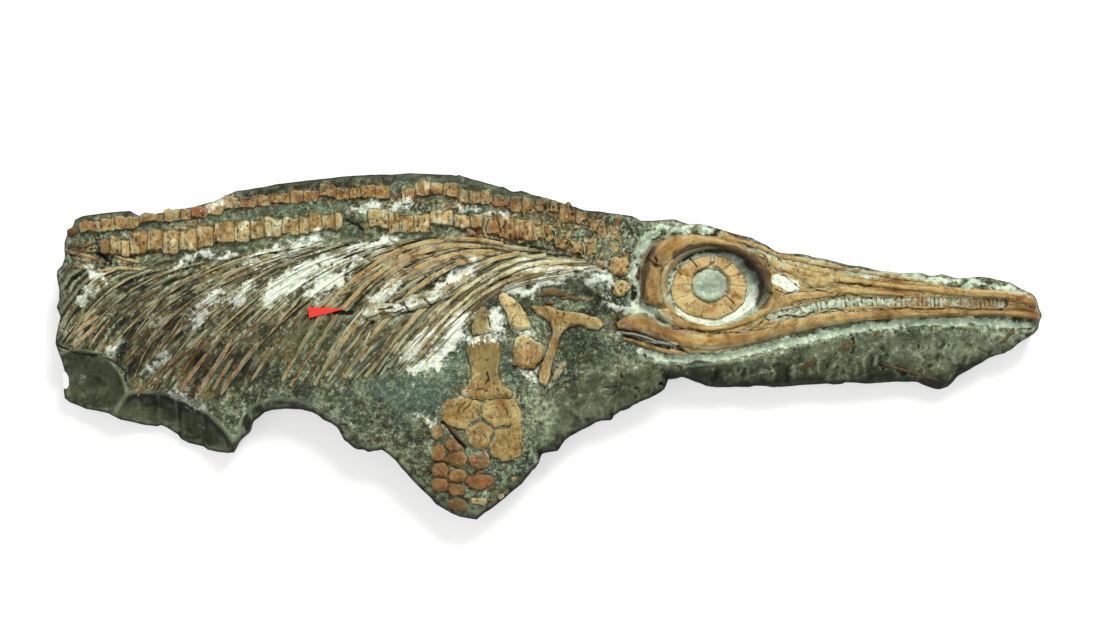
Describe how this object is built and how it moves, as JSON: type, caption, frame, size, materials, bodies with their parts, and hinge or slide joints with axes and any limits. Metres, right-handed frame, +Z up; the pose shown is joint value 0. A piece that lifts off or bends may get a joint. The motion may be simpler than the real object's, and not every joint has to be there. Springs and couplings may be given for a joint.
{
  "type": "fossil marine reptile slab",
  "caption": "Stone slab holding the front half of a fossil ichthyosaur: long toothed jaws, ringed eye, backbone, fanned ribs and a front paddle.",
  "frame": {"origin": "middle of the slab's bounding box in plan, on the plane that it rests on", "axes": "+X from the broken tail end to the snout, +Y from the paddle to the back edge, +Z up out of the fossil face"},
  "size_m": [0.9884, 0.347, 0.0682],
  "materials": {
    "stone": "rough broken grey-green mudstone with pale mineral patches",
    "skull_bone": "satin mineralised bone, orange-brown",
    "back_bone": "satin mineralised bone, ochre",
    "rib_bone": "satin mineralised bone, tan to pale yellow",
    "paddle_bone": "satin mineralised bone, orange to olive-brown",
    "pointer_paper": "matt red card",
    "label_paper": "matt white paper"
  },
  "bodies": {
    "root": {"stone_slab": "stone", "snout_roof": "skull_bone", "brow_arch": "skull_bone", "jugal_bone": "skull_bone", "upper_jaw_front": "skull_bone", "upper_jaw_cheek": "skull_bone", "lower_jaw": "skull_bone", "jaw_hinge_splint": "skull_bone", "cheek_bone": "skull_bone", "nasal_bone": "skull_bone", "eye_plate_ring": "skull_bone", "neck_vertebra_first": "back_bone", "neck_vertebra_second": "back_bone", "backbone_rear": "back_bone", "backbone_front": "back_bone", "neural_spines_rear": "back_bone", "neural_spines_front": "back_bone", "rib_01": "rib_bone", "rib_02": "rib_bone", "rib_03": "rib_bone", "rib_04": "rib_bone", "rib_05": "rib_bone", "rib_06": "rib_bone", "rib_07": "rib_bone", "rib_08": "rib_bone", "rib_09": "rib_bone", "rib_10": "rib_bone", "rib_11": "rib_bone", "rib_12": "rib_bone", "rib_13": "rib_bone", "rib_14": "rib_bone", "rib_15": "rib_bone", "rib_16": "rib_bone", "rib_17": "rib_bone", "rib_18": "rib_bone", "rib_19": "rib_bone", "rib_20": "rib_bone", "belly_bone_bundle": "rib_bone", "shoulder_blade": "paddle_bone", "collar_fragment": "paddle_bone", "coracoid_bone": "paddle_bone", "collar_bone": "paddle_bone", "upper_arm_bone": "paddle_bone", "forearm_bone_front": "paddle_bone", "forearm_bone_rear": "paddle_bone", "wrist_bone_middle": "paddle_bone", "wrist_bone_rear": "paddle_bone", "finger_bone_01": "paddle_bone", "finger_bone_02": "paddle_bone", "finger_bone_03": "paddle_bone", "finger_bone_04": "paddle_bone", "finger_bone_05": "paddle_bone", "finger_bone_06": "paddle_bone", "finger_bone_07": "paddle_bone", "finger_bone_08": "paddle_bone", "finger_bone_09": "paddle_bone", "finger_bone_10": "paddle_bone", "finger_bone_11": "paddle_bone", "paper_pointer": "pointer_paper", "paper_label": "label_paper"}
  },
  "joints": []
}
